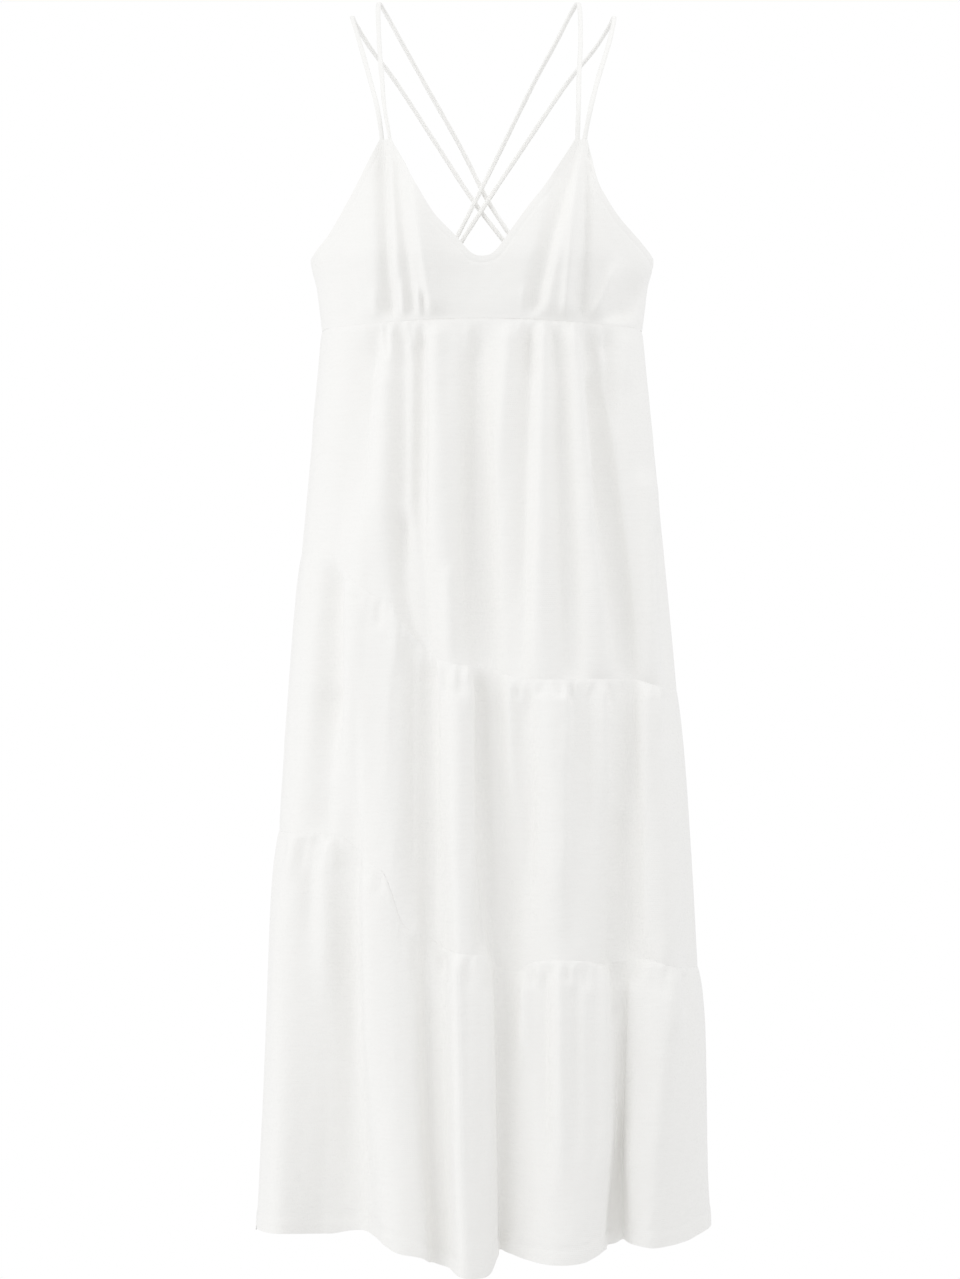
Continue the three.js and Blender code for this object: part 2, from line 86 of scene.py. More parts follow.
def centripetal(a, b, c, d, t):
    # the curve from b to c that also heeds a and d, each knot the root of a distance apart
    ab, bc, cd = (np.sqrt(np.linalg.norm(q - p, axis=-1, keepdims=True)) for p, q in ((a, b), (b, c), (c, d)))
    m = bc * ((b - a) / ab - (c - a) / (ab + bc) + (c - b) / bc)
    n = bc * ((c - b) / bc - (d - b) / (bc + cd) + (d - c) / cd)
    return hermite(b, c, m, n, t[..., None])


def hump(distance, width):
    return np.exp(-np.square(distance / width))


def smoothStep(low, high, at):
    t = np.clip((at - low) / (high - low), 0, 1)
    return t * t * (3 - 2 * t)


def softNoise(u, v, seed):
    # random heights on a whole-number lattice, joined by a smooth step both ways, from -1 to 1
    lattice = np.random.default_rng(seed).uniform(-1, 1, (257, 257))
    i, j = np.floor(u).astype(int) % 256, np.floor(v).astype(int) % 256
    a = smoothStep(0, 1, u - np.floor(u))
    b = smoothStep(0, 1, v - np.floor(v))
    near = lattice[i, j] * (1 - a) + lattice[i + 1, j] * a
    far = lattice[i, j + 1] * (1 - a) + lattice[i + 1, j + 1] * a
    return near * (1 - b) + far * b


# The oval rings of the figure that the bodice follows, as half width, front depth and back depth.
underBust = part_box("back_bodice")[0][2]
hemLow = -1.138
form = {
    "power": 2.3,
    "z": [-0.120, -0.236, -0.262, -0.302],
    "side": [0.150, 0.1590, 0.1535, 0.1485],
    "front": [0.100, 0.114, 0.112, 0.108],
    "back": [0.092, 0.098, 0.0976, 0.097],
}

# The skirt's crests and troughs once round, from the left side over the front and back again: its
# start on the seam under the cups, then its place [x, y] at the hips, the calves and the hem, in mm.
skirtFolds = [
    ("left side", -148, (-176.5, 0), (-195.5, 2), (-210.5, 12)),
    ("left turn", -140, (-168, -38), (-191, -30), (-205, -24)),
    ("left crest", -131, (-156, -58), (-179, -54), (-187, -50)),
    ("left hollow", -118, (-134, -74), (-134.5, -67), (-144, -37)),
    ("left foot", -106, (-112, -97), (-112, -69), (-109, -41)),
    ("first crest, left", -98, (-103, -103), (-102, -101), (-86, -107)),
    ("first crest", -86, (-84, -109), (-81, -116), (-74, -119)),
    ("first crest, right", -74, (-66, -108), (-59, -114), (-49, -118)),
    ("first trough", -58, (-49, -105), (-47.5, -105), (-42, -103)),
    ("second crest, left", -50, (-39, -115), (-33.5, -108), (-32.5, -106)),
    ("second crest", -40, (-28, -124), (-20, -134), (-15, -152)),
    ("second crest, right", -22, (-12, -119), (6, -123), (12, -130)),
    ("second trough, left", -12, (-3, -111), (10, -107), (14.5, -107)),
    ("second trough", -3, (9, -109), (24, -106), (24, -113.5)),
    ("third crest, left", 12, (24, -117), (41, -119), (33.5, -121)),
    ("third crest", 46, (56, -129), (66, -134), (62, -141)),
    ("third dip", 67, (82, -118), (87, -129.5), (86, -138)),
    ("third crest, right", 77, (95, -118), (104, -118), (107, -120)),
    ("third trough, left", 91, (117, -101), (113.5, -101), (114, -84)),
    ("third trough", 100, (133, -88), (127, -98), (126, -79)),
    ("fourth crest, left", 108, (142, -89), (140, -103), (133, -108)),
    ("fourth crest", 121, (156, -80), (164, -110), (150, -116)),
    ("fourth crest, right", 136, (169, -46), (189, -50), (203, -46)),
    ("right side", 146, (179, 2), (199.5, 4), (210.5, 16)),
    ("right side behind", 147, (177, 24), (198, 29), (215, 46)),
    ("right turn behind", 135, (171, 46), (192, 54), (214, 76)),
    ("fifth crest", 112, (141, 90), (158, 108), (176, 128)),
    ("fifth trough", 88, (110, 99), (119, 105), (130, 94)),
    ("sixth crest", 60, (78, 117), (87, 134), (93, 160)),
    ("sixth trough", 34, (44, 113), (48, 112), (54, 102)),
    ("seventh crest", 12, (16, 123), (15, 142), (14, 166)),
    ("seventh trough", -14, (-16, 117), (-20, 119), (-24, 110)),
    ("eighth crest", -42, (-54, 119), (-61, 140), (-68, 164)),
    ("eighth trough", -70, (-88, 104), (-98, 105), (-108, 92)),
    ("ninth crest", -100, (-128, 90), (-144, 107), (-154, 122)),
    ("left turn behind", -134, (-165.5, 48), (-185, 56), (-201, 66)),
    ("left side behind", -147, (-174, 24), (-193, 28), (-209, 38)),
]
levels = np.array([underBust, -0.610, -0.880, hemLow])
rightRow = [row[0] for row in skirtFolds].index("right side")
rowCount = len(skirtFolds)


def ovalPlace(across, z, facing):
    # across runs from -1 at the left side to 1 at the right, facing is -1 in front and 1 behind
    side = through(form["z"], form["side"], z)
    depth = through(form["z"], form["front"] if facing < 0 else form["back"], z)
    rest = np.maximum(1 - np.abs(across) ** form["power"], 0) ** (1 / form["power"])
    return np.stack(np.broadcast_arrays(across * side, facing * depth * rest, z), axis=-1)


def foldLevels():
    # every fold row's place on the four level rings, and its slopes down the skirt
    starts = np.array([row[1] for row in skirtFolds]) * mm
    side = through(form["z"], form["side"], underBust)
    facing = np.where(np.arange(rowCount) <= rightRow, -1, 1)
    across = np.clip(starts / side, -1, 1)
    start = np.where(facing[:, None] < 0, ovalPlace(across, underBust, -1), ovalPlace(across, underBust, 1))
    below = np.array([row[2:] for row in skirtFolds]) * mm
    place = np.concatenate([start[:, None, :2], below], axis=1)
    slope = np.gradient(place, axis=1)
    slope[:, 1:-1] = (place[:, 2:] - place[:, :-2]) / (levels[2:] - levels[:-2])[:, None]
    slope[:, 0] = (place[:, 1] - place[:, 0]) / (levels[1] - levels[0])
    slope[:, -1] = (place[:, -1] - place[:, -2]) / (levels[-1] - levels[-2])
    return place, slope


foldPlace, foldSlope = foldLevels()


def rowPlace(row, z):
    # where a fold row lies at a height, on a cubic down through its four level rings
    row = row % rowCount
    z = np.clip(z, levels[-1], levels[0])
    i = np.clip(np.searchsorted(-levels, -z, side="right") - 1, 0, len(levels) - 2)
    step = (levels[i + 1] - levels[i])[..., None]
    t = (z - levels[i])[..., None] / step
    m, n = foldSlope[row, i] * step, foldSlope[row, i + 1] * step
    return hermite(foldPlace[row, i], foldPlace[row, i + 1], m, n, t)


def ringPlace(row, z):
    # a centripetal curve through the fold rows at a height; row runs once round the dress
    row, z = np.broadcast_arrays(np.asarray(row, float), np.asarray(z, float))
    k = np.floor(row).astype(int)
    flat = centripetal(*(rowPlace(k + i, z) for i in (-1, 0, 1, 2)), row - k)
    return np.concatenate([flat, z[..., None]], axis=-1)


# The slanting seams, by how far to the side they are, and the hem's dips and rises, in mm.
seams = {
    "upperFront": [
        (-182, -506), (-160, -508), (-142, -511), (-130, -521), (-118, -533), (-97, -548), (-87, -550),
        (-79, -557), (-72, -570), (-60, -585), (-49, -596), (-33, -607), (-12, -610), (7, -612), (20, -618),
        (36, -622), (135, -623), (158, -629), (186, -636)],
    "upperBack": [(-182, -506), (-120, -522), (-40, -574), (50, -614), (186, -636)],
    "lowerFront": [
        (-201, -764), (-137, -764), (-124, -767), (-108, -781), (-94, -791), (-86, -798), (-79, -816),
        (-72, -838), (-65, -847), (-56, -849), (-44, -857), (-34, -864), (-20, -867), (4, -870), (15, -881),
        (30, -885), (44, -876), (60, -873), (92, -874), (107, -878), (125, -877), (145, -874), (170, -881),
        (204, -892)],
    "lowerBack": [(-201, -764), (-140, -780), (-50, -830), (60, -872), (204, -892)],
    "hemFront": [
        (-216, 5), (-186, 7), (-140, 5), (-120, 8), (-104, 9), (-90, 7), (-75, 1), (-54, -3), (-40, -11),
        (-22, -14), (-5, -16), (8, -13), (14, 2), (24, 1), (35, -2), (60, -5), (90, -4), (107, 3), (120, 4),
        (129, 8), (155, 5), (185, 6), (203, 9), (220, 9)],
    "bustRise": 0.004,
    "bustRiseWidth": 0.090,
}


def seamHeight(name, x):
    rows = np.array(seams[name]) * mm
    return through(rows[:, 0], rows[:, 1], x)


def upperSeam(row):
    x = ringPlace(row, levels[1])[..., 0]
    return np.where(row <= rightRow, seamHeight("upperFront", x), seamHeight("upperBack", x))


def lowerSeam(row):
    x = ringPlace(row, levels[2])[..., 0]
    return np.where(row <= rightRow, seamHeight("lowerFront", x), seamHeight("lowerBack", x))


def hemHeight(row):
    lift = seamHeight("hemFront", ringPlace(row, hemLow)[..., 0])
    return hemLow + np.where(row <= rightRow, lift, 0)


def bustSeam(row):
    rise = seams["bustRise"] * hump(ringPlace(row, underBust)[..., 0], seams["bustRiseWidth"])
    return underBust + np.where(row <= rightRow, rise, 0)


# Each tier is fuller than the one above it, so it puffs out a little below its seam.
puffs = [
    {"seam": upperSeam, "out": 0.0022, "reach": 0.070},
    {"seam": lowerSeam, "out": 0.0042, "reach": 0.060},
]


def skirtPlace(row, z):
    place = ringPlace(row, z)
    outward = place[..., :2] / np.linalg.norm(place[..., :2], axis=-1, keepdims=True)
    for puff in puffs:
        below = np.maximum(puff["seam"](row) - z, 0) / puff["reach"]
        place[..., :2] += outward * (puff["out"] * below * np.exp(1 - below))[..., None]
    return place


# A crease is a soft trough or ridge from its head to its foot. Columns, in mm: x and z of the
# head, x and z of the foot, how wide it is, how far it stands out, or dips where negative, and
# how much of its width lies to its left, from -1 to 1.
creases = {
    "upper_skirt_front": [
        (-100, -304, -117, -500, 12, -10.0, 0.3),
        (-95, -300, -94, -345, 5, -2.6, 0.3),
        (-86, -345, -94, -520, 9, 3.0, 0),
        (-88, -300, -88, -335, 3.5, -2.6, 0),
        (-82, -300, -81, -340, 3.5, 2.6, 0),
        (-72, -300, -72, -590, 8, -8.4, 0.15),
        (-70, -470, -54, -690, 8, -6.4, 0.2),
        (-67, -300, -66, -335, 3.5, 2.8, 0),
        (-60, -300, -60, -325, 3, 2.4, 0),
        (-55, -300, -56, -520, 6, -9.4, 0.2),
        (-41, -300, -40, -570, 7, 4.6, 0),
        (-30, -520, -30, -612, 6, 3.4, 0),
        (-13, -302, -12, -335, 4, 2.2, 0),
        (-3, -300, 1, -640, 14, -13.5, 0.3),
        (-7, -330, -5, -580, 5, -3.0, 0.3),
        (24, -300, 12, -460, 8, 5.4, 0),
        (43, -302, 33, -640, 8, -7.6, 0.3),
        (45, -303, 45, -360, 4, -3.6, 0),
        (54, -298, 48, -640, 7, 6.4, -0.2),
        (64, -306, 65, -350, 4, -2.4, 0),
        (69, -302, 81, -690, 7.5, -6.0, -0.1),
        (79, -300, 112, -680, 8, 6.8, 0),
        (101, -430, 104, -530, 5, -2.6, 0),
        (97, -300, 132, -640, 9, -10.8, 0),
        (107, -304, 113, -350, 4, 3.0, 0),
        (113, -302, 119, -400, 8, -7.4, 0.2),
        (103, -345, 113, -540, 5, -4.5, 0),
        (130, -306, 132, -360, 6, 3.0, 0),
        (146, -430, 150, -650, 9, 7.0, -0.3),
        (161, -480, 168, -630, 6, -4.0, 0.3),
    ],
    "middle_tier_front": [
        (-133, -510, -135, -700, 9, -13.0, 0.35),
        (-138, -630, -146, -820, 10, -4.6, 0.3),
        (-117, -530, -119, -740, 8, 5.0, 0),
        (-160, -507, -164, -560, 6, 1.8, 0),
        (-172, -507, -176, -545, 5, -1.6, 0),
        (-112, -535, -112, -556, 4, -2.0, 0),
        (-93, -547, -93, -580, 4, -2.6, 0),
        (-78, -558, -77, -615, 5, 2.4, 0),
        (-61, -582, -61, -860, 7, -4.0, 0.3),
        (-45, -599, -44, -860, 8, -8.6, 0.4),
        (-38, -604, -38, -640, 3.5, 3.0, 0),
        (-33, -606, -33, -640, 3, -3.0, 0),
        (-22, -608, -19, -860, 8, 5.0, -0.2),
        (-21, -609, -21, -640, 3, -2.8, 0),
        (-14, -609, -14, -655, 4, 2.6, 0),
        (-9, -625, -6, -880, 5, 3.2, 0),
        (-3, -614, 3, -950, 6.5, -7.2, -0.1),
        (26, -618, 26, -750, 5, 4.4, 0),
        (31, -621, 31, -642, 3, -2.8, 0),
        (41, -630, 41, -840, 9, -7.0, 0.4),
        (70, -626, 70, -860, 10, 5.4, 0.4),
        (51, -622, 51, -640, 3, -3.0, 0),
        (75, -623, 75, -700, 5, 3.0, 0),
        (69, -623, 69, -640, 3, -3.2, 0),
        (80, -623, 78, -645, 3, -3.0, 0),
        (96, -624, 98, -800, 7.5, -5.4, 0.1),
        (106, -624, 110, -750, 6, 4.0, 0),
        (114, -624, 115, -650, 4, -2.4, 0),
        (130, -626, 130, -790, 7, -2.0, 0.4),
        (128, -740, 134, -900, 7, -4.6, 0.3),
        (146, -616, 151, -900, 8, 9.0, -0.3),
        (159, -629, 160, -675, 4, 2.6, 0),
        (166, -631, 168, -690, 5, -2.6, 0),
    ],
    "lower_tier_front": [
        (-181, -764, -184, -795, 4, -2.6, 0),
        (-173, -764, -177, -810, 5, 2.4, 0),
        (-156, -764, -158, -880, 7, -3.2, 0.2),
        (-163, -764, -166, -800, 4, -2.6, 0),
        (-140, -764, -143, -930, 8, 5.0, 0),
        (-148, -764, -148, -795, 4, -2.6, 0),
        (-133, -764, -134, -800, 4, 2.6, 0),
        (-114, -776, -112, -960, 9, -2.4, 0.3),
        (-104, -800, -100, -1010, 8, 2.6, -0.2),
        (-93, -792, -92, -820, 4, -3.2, 0),
        (-50, -850, -45, -1125, 6, -2.8, 0.2),
        (-60, -850, -58, -900, 4, -2.0, 0),
        (-35, -864, -35, -890, 4, -3.2, 0),
        (-21, -867, -18, -1130, 6, 4.6, 0.3),
        (-12, -868, -11, -900, 4, -2.0, 0),
        (5, -900, 9, -1130, 5, 1.8, 0),
        (39, -884, 39, -975, 5, 4.0, 0),
        (44, -877, 43, -900, 3.5, -3.8, 0),
        (55, -876, 56, -1060, 5.5, -5.6, 0.3),
        (50, -875, 50, -900, 3.5, 3.0, 0),
        (69, -873, 71, -1070, 6, 4.6, 0),
        (62, -873, 62, -894, 3.2, -3.0, 0),
        (74, -873, 74, -894, 3.2, -3.2, 0),
        (83, -874, 84, -1060, 6.5, -4.2, 0.3),
        (81, -873, 81, -905, 3.5, 3.0, 0),
        (93, -874, 93, -900, 3.5, -2.8, 0),
        (108, -874, 110, -1100, 7, 4.6, -0.3),
        (121, -866, 121, -900, 7, -5.0, 0),
        (135, -890, 134, -1120, 6, 4.4, -0.4),
        (119, -925, 119, -1120, 7, 4.4, 0),
        (148, -860, 148, -990, 9, 3.6, -0.3),
        (156, -876, 156, -905, 4, -1.8, 0),
        (164, -879, 164, -910, 4, -2.0, 0),
        (173, -882, 173, -950, 6, 3.4, 0),
        (183, -886, 185, -930, 4, -3.0, 0),
    ],
    "upper_skirt_back": [
        (-112, -304, -118, -470, 7, -3.6, 0),
        (-88, -304, -90, -400, 6, 3.0, 0),
        (-63, -304, -66, -520, 7, -4.6, 0.2),
        (-36, -304, -37, -430, 6, 3.4, 0),
        (-12, -304, -13, -560, 7, -4.6, -0.2),
        (18, -304, 20, -420, 6, 3.0, 0),
        (44, -304, 48, -590, 7, -4.6, 0.2),
        (76, -304, 82, -440, 6, 3.4, 0),
        (104, -304, 114, -540, 7, -4.0, 0),
    ],
    "middle_tier_back": [
        (-138, -520, -142, -690, 7, -3.4, 0),
        (-104, -530, -108, -640, 6, 3.0, 0),
        (-72, -552, -74, -760, 7, -4.2, 0.2),
        (-30, -580, -31, -700, 6, 3.2, 0),
        (2, -594, 2, -840, 7, -4.2, -0.2),
        (40, -610, 42, -730, 6, 3.0, 0),
        (78, -618, 82, -850, 7, -4.2, 0.2),
        (122, -626, 127, -760, 6, 3.0, 0),
        (150, -630, 156, -820, 7, -3.4, 0),
    ],
    "lower_tier_back": [
        (-168, -774, -174, -920, 6, -3.2, 0),
        (-130, -782, -134, -900, 6, 3.0, 0),
        (-84, -808, -88, -1010, 7, -4.0, 0.2),
        (-44, -832, -45, -960, 6, 3.0, 0),
        (20, -856, 21, -1080, 7, -4.0, 0),
        (72, -872, 75, -1000, 6, 3.0, 0),
        (112, -880, 118, -1090, 7, -4.0, 0.2),
        (164, -884, 172, -1010, 6, 3.0, 0),
    ],
}
# The gathers: how tightly each stretch of a seam is gathered, by how far to the side it is in mm.
gathers = {
    "upper_skirt_front": [
        (-150, 0.1), (-112, 0.15), (-98, 0.9), (-54, 1.0), (-42, 0.12), (24, 0.1), (38, 1.0), (96, 1.0),
        (112, 0.3), (150, 0.1)],
    "middle_tier_front": [
        (-182, 0.35), (-140, 0.6), (-110, 0.3), (-60, 0.7), (-10, 0.8), (60, 1.0), (120, 0.8), (186, 0.5)],
    "lower_tier_front": [
        (-205, 0.6), (-150, 1.0), (-120, 0.8), (-100, 0.4), (-50, 0.7), (20, 0.7), (60, 1.0), (110, 0.8),
        (205, 0.7)],
    "upper_skirt_back": [(-150, 0.5), (0, 0.8), (150, 0.5)],
    "middle_tier_back": [(-182, 0.6), (0, 0.9), (186, 0.6)],
    "lower_tier_back": [(-205, 0.7), (0, 1.0), (205, 0.7)],
}
# One small pleat. Its reach, width and height go from least to most, and so does the way on to the
# next one; longShare of them are longer. None stands nearer to a side seam than end, and each
# starts at the stitching, leans a little and widens as it runs down.
pleat = {
    "end": 0.006,
    "reach": (0.012, 0.034),
    "longShare": 0.18,
    "longer": 1.6,
    "width": (0.0022, 0.0040),
    "height": (0.0008, 0.0018),
    "lean": 0.07,
    "widening": 0.035,
    "next": (0.0065, 0.0125),
    "stitching": 0.0025,
}
# Long soft folds too small to be listed: how high, how far apart and how long, at three widths.
streakLayers = [(0.0009, 0.030, 0.24), (0.0005, 0.014, 0.13), (0.00022, 0.010, 0.012)]


def creaseField(rows, x, z):
    # each row adds a hump across its line, faded at head and foot; the deeper it is, the longer
    # the fade at its head
    out = np.zeros(np.broadcast(x, z).shape)
    for headX, headZ, footX, footZ, width, depth, lean in rows:
        along = (z - headZ * mm) / ((footZ - headZ) * mm)
        aside = x - (headX + (footX - headX) * np.clip(along, 0, 1)) * mm
        spread = width * mm * (1 + 0.25 * np.clip(along, 0, 1)) * np.where(aside < 0, 1 + lean, 1 - lean)
        full = (5 + 2.2 * abs(depth)) * mm
        fade = smoothStep(-0.004, full, headZ * mm - z) * (1 - smoothStep(0.6, 1.1, along))
        out += depth * mm * hump(aside, spread) * fade
    return out


def gatherField(name, run, below, x, seed):
    # small pleats at uneven places along the seam: each is a narrow hump that widens and fades as
    # it runs down, and is nothing at the stitching itself
    random = np.random.default_rng(seed)
    length = run[-1, 0]
    tight = np.array(gathers[name], float)
    out = np.zeros(below.shape)
    place = pleat["end"]
    seamX = x[:, 0]
    while place < length - pleat["end"]:
        here = np.interp(place, run[:, 0], seamX)
        force = np.interp(here / mm, tight[:, 0], tight[:, 1])
        reach = random.uniform(*pleat["reach"])
        reach *= 1 + pleat["longer"] * (random.uniform() < pleat["longShare"])
        width = random.uniform(*pleat["width"])
        height = random.uniform(*pleat["height"]) * force
        lean = random.normal(0, pleat["lean"])
        middle = place + lean * below
        out += height * hump(run - middle, width * (1 + below / pleat["widening"])) * np.exp(-below / reach)
        place += random.uniform(*pleat["next"])
    return out * (1 - np.exp(-below / pleat["stitching"]))


def streaks(run, z, seed):
    # noise drawn out down the cloth, one layer for each width
    return sum(
        height * softNoise(run / apart, z / long, seed + layer)
        for layer, (height, apart, long) in enumerate(streakLayers)
    )


def gridMesh(name, place, run, slot, thickness):
    # a grid of points to a mesh with faces outward; its UV is metres along and down the cloth
    columns, rows = place.shape[:2]
    corner = np.arange(columns * rows).reshape(columns, rows)
    quads = np.stack([corner[:-1, :-1], corner[:-1, 1:], corner[1:, 1:], corner[1:, :-1]], axis=-1)
    quads = quads.reshape(-1, 4)
    mesh = bpy.data.meshes.new(name)
    mesh.vertices.add(columns * rows)
    mesh.vertices.foreach_set("co", place.astype(np.float32).ravel())
    mesh.loops.add(quads.size)
    mesh.loops.foreach_set("vertex_index", quads.astype(np.int32).ravel())
    mesh.polygons.add(len(quads))
    mesh.polygons.foreach_set("loop_start", np.arange(0, quads.size, 4, dtype=np.int32))
    mesh.update(calc_edges=True)
    mesh.polygons.foreach_set("use_smooth", np.ones(len(quads), dtype=bool))
    ends = np.empty(len(mesh.edges) * 2, dtype=np.int32)
    mesh.edges.foreach_get("vertices", ends)
    column, level = np.divmod(ends.reshape(-1, 2), rows)
    rim = np.zeros(len(mesh.edges), dtype=bool)
    for count, side in ((columns, column), (rows, level)):
        rim |= (side == 0).all(axis=1) | (side == count - 1).all(axis=1)
    sharp = mesh.attributes.new("sharp_edge", "BOOLEAN", "EDGE")
    sharp.data.foreach_set("value", rim)
    cut = np.stack([run, np.broadcast_to(place[..., 2], run.shape)], axis=-1).reshape(-1, 2)
    layer = mesh.uv_layers.new(name="cut")
    layer.data.foreach_set("uv", cut[quads.ravel()].astype(np.float32).ravel())
    piece = bpy.data.objects.new(name, mesh)
    scene.collection.objects.link(piece)
    piece.data.materials.append(clothMaterials[slot])
    wall = piece.modifiers.new("wall", "SOLIDIFY")
    wall.thickness = thickness
    wall.offset = -1
    wall.use_even_offset = False
    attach(piece, "root")
    return piece


def outwardNormals(place):
    along = np.gradient(place, axis=0)
    down = np.gradient(place, axis=1)
    normal = np.cross(down, along)
    return normal / np.maximum(np.linalg.norm(normal, axis=-1, keepdims=True), 1e-12)


def runAlong(place):
    # distance along the cloth from its first column, at every height
    step = np.linalg.norm(np.diff(place, axis=0), axis=-1)
    return np.concatenate([np.zeros((1, place.shape[1])), np.cumsum(step, axis=0)], axis=0)


gauze = {
    "colour": (0.895, 0.89, 0.872),
    "slubColour": (0.915, 0.91, 0.895),
    # painted light: a paler colour for a strap's face that lies to the body, lifting the shade that falls
    # there
    "paintedLightColour": (0.985, 0.98, 0.965),
    "crinkle": (1 / 0.013, 1 / 0.0042),
    "rib": (1 / 0.0070, 1 / 0.040),
    "slub": (1 / 0.05, 1 / 0.0016),
    "thread": 1 / 0.0009,
    "threadDepth": 0.00012,
    "roughness": 0.92,
    "specular": 0.2,
    "sheen": 0.45,
    "sheenRoughness": 0.5,
}


def clothMaterial(name, crinkleDepth, paintedLightFace=None):
    # crinkled double gauze: low ripples across, faint ribs down, slubs and a plain weave, all by bump;
    # a strap's face that lies to the body, a stretch of its run across, is painted paler: painted light that
    # lifts the shade falling on that face
    made = bpy.data.materials.new(name)
    made.use_nodes = True
    nodes, links = made.node_tree.nodes, made.node_tree.links
    shader = nodes["Principled BSDF"]
    shader.inputs["Roughness"].default_value = gauze["roughness"]
    shader.inputs["Specular IOR Level"].default_value = gauze["specular"]
    shader.inputs["Sheen Weight"].default_value = gauze["sheen"]
    shader.inputs["Sheen Roughness"].default_value = gauze["sheenRoughness"]
    cut = nodes.new("ShaderNodeUVMap")
    cut.uv_map = "cut"

    def stretched(scale, detail, offset):
        place = nodes.new("ShaderNodeMapping")
        place.inputs["Scale"].default_value = (scale[0], scale[1], 1)
        place.inputs["Location"].default_value = (offset, offset * 0.37, 0)
        noise = nodes.new("ShaderNodeTexNoise")
        noise.inputs["Scale"].default_value = 1
        noise.inputs["Detail"].default_value = detail
        noise.inputs["Roughness"].default_value = 0.5
        links.new(cut.outputs[0], place.inputs["Vector"])
        links.new(place.outputs[0], noise.inputs["Vector"])
        return noise.outputs["Fac"]

    def bumped(height, distance, strength, below):
        bump = nodes.new("ShaderNodeBump")
        bump.inputs["Strength"].default_value = strength
        bump.inputs["Distance"].default_value = distance
        links.new(height, bump.inputs["Height"])
        if below is not None:
            links.new(below, bump.inputs["Normal"])
        return bump.outputs["Normal"]

    def weave(direction, below):
        wave = nodes.new("ShaderNodeTexWave")
        wave.bands_direction = direction
        wave.inputs["Scale"].default_value = gauze["thread"] / 6.2832
        wave.inputs["Distortion"].default_value = 0.6
        wave.inputs["Detail"].default_value = 1
        links.new(cut.outputs[0], wave.inputs["Vector"])
        return bumped(wave.outputs["Fac"], gauze["threadDepth"], 0.35, below)

    normal = bumped(stretched(gauze["crinkle"], 2.5, 3.1), crinkleDepth, 0.9, None)
    normal = bumped(stretched(gauze["rib"], 2, 7.7), crinkleDepth * 0.6, 0.7, normal)
    normal = weave("X", weave("Y", normal))
    links.new(normal, shader.inputs["Normal"])
    slub = stretched(gauze["slub"], 2, 11.3)
    mix = nodes.new("ShaderNodeMix")
    mix.data_type = "RGBA"
    mix.inputs["A"].default_value = (*gauze["colour"], 1)
    mix.inputs["B"].default_value = (*gauze["slubColour"], 1)
    links.new(slub, mix.inputs["Factor"])
    colour = mix.outputs["Result"]
    # painted light: the strap's face that lies to the body is made paler where it sits in shade
    if paintedLightFace:
        middle, half = paintedLightFace
        parts = nodes.new("ShaderNodeSeparateXYZ")
        links.new(cut.outputs[0], parts.inputs[0])
        inside = nodes.new("ShaderNodeMath")
        inside.operation = "COMPARE"
        inside.inputs[1].default_value = middle
        inside.inputs[2].default_value = half
        links.new(parts.outputs["X"], inside.inputs[0])
        paintedLight = nodes.new("ShaderNodeMix")
        paintedLight.data_type = "RGBA"
        paintedLight.inputs["B"].default_value = (*gauze["paintedLightColour"], 1)
        links.new(inside.outputs[0], paintedLight.inputs["Factor"])
        links.new(colour, paintedLight.inputs["A"])
        colour = paintedLight.outputs["Result"]
    links.new(colour, shader.inputs["Base Color"])
    return made


clothMaterials = {
    "bodice_gauze": clothMaterial("bodiceGauze", 0.0002),
    "skirt_gauze": clothMaterial("skirtGauze", 0.0004),
    # the strap's face that lies to the body gets painted light, a paler colour over this stretch of its run
    # across
    "strap_gauze": clothMaterial("strapGauze", 0.00008, (0.0105, 0.0032)),
}
print("materials made")

# A panel's wall, how far its rows crowd towards the upper seam, how far from that seam creases and
# streaks start, how close to the lower seam and the sides they end, and how deep the seams lie.
skirt = {
    "wall": 0.0008,
    "crowding": 1.25,
    "creaseStart": 0.004,
    "streakStart": 0.010,
    "endFade": 0.006,
    "sideFade": 0.010,
    "seamDip": 0.00018,
    "seamWidth": 0.0022,
    "sideDip": 0.7,
}
# The hem is turned up and stitched: its height, the step and the groove at the stitching, and a
# slight wave along the edge, as how high, how far apart across and down, and how far up it reaches.
hem = {
    "turn": 0.014,
    "step": 0.0012,
    "out": 0.0006,
    "groove": 0.0008,
    "grooveWidth": 0.0014,
    "wave": 0.0005,
    "waveAcross": 0.012,
    "waveDown": 0.05,
    "waveReach": 0.02,
}


def evenColumns(firstRow, lastRow, z, count):
    # fold-row numbers at equal steps of cloth along the ring at a height
    dense = np.linspace(firstRow, lastRow, 3000)
    dense = np.clip(dense, firstRow, lastRow - 1e-9)
    place = ringPlace(dense, np.full(dense.shape, z))
    run = np.concatenate([[0], np.cumsum(np.linalg.norm(np.diff(place, axis=0), axis=-1))])
    return np.interp(np.linspace(0, run[-1], count), run, dense)


def slantOf(edge, run):
    # how much longer a drop is than the way square to an edge, from the edge's slope along the cloth
    slope = np.gradient(edge[:, 0]) / np.maximum(np.abs(np.gradient(run)), 1e-6)
    return np.sqrt(1 + np.minimum(np.abs(slope), 3) ** 2)[:, None]


# The flat cuts come from the figure and the seams, never from the finished surface. Each tier is
# cut this many times as wide as the edge that it is gathered on to.
fullness = {"upper_skirt": 1.25, "middle_tier": 1.2, "lower_tier": 1.25}


def halfGirth(z, facing):
    # the length of the oval round one face of the figure
    across = np.sin(np.linspace(-np.pi / 2, np.pi / 2, 400))[:, None]
    return float(runAlong(ovalPlace(across, z, facing))[-1, 0])


def tierWidth(node):
    # the half girth under the bust, times the fullness of this tier and of each one above it
    tier, face = node.rsplit("_", 1)
    tiers = list(fullness)
    times = np.prod([fullness[name] for name in tiers[: tiers.index(tier) + 1]])
    return float(times) * halfGirth(underBust, -1 if face == "front" else 1)


